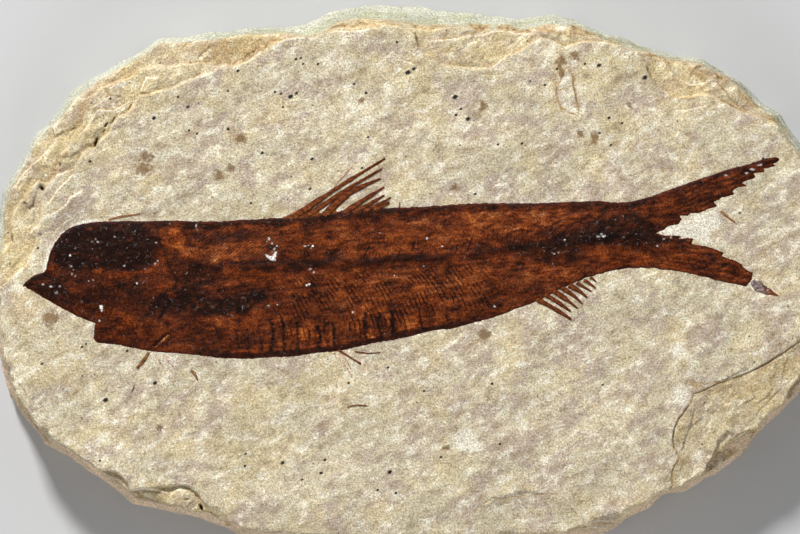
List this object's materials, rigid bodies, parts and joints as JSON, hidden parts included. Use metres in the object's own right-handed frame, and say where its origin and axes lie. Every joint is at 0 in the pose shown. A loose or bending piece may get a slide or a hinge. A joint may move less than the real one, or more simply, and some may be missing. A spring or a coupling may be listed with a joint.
{
  "type": "fossil fish slab",
  "caption": "Hand-size oval slab of cream laminated limestone carrying a flattened, varnished reddish-brown fossil fish with fins, tail and loose bone slivers.",
  "frame": {"origin": "on the surface the slab lies on, under the middle of its bounding box", "axes": "+X towards the fish's tail, +Y towards its back, +Z out of the face that carries the fish"},
  "size_m": [0.0993, 0.0629, 0.0087],
  "materials": {
    "limestone": "matte, fine-grained, broken along its laminae",
    "fish_bone": "dark reddish brown under a thin glossy varnish",
    "pale_bone": "dull brown"
  },
  "bodies": {
    "root": {"limestone_slab": "limestone", "fossil_fish": "fish_bone", "tail_tip": "fish_bone", "bone_sliver_1": "pale_bone", "bone_sliver_2": "pale_bone", "bone_sliver_3": "pale_bone", "bone_sliver_4": "pale_bone", "bone_sliver_5": "pale_bone"}
  },
  "joints": []
}
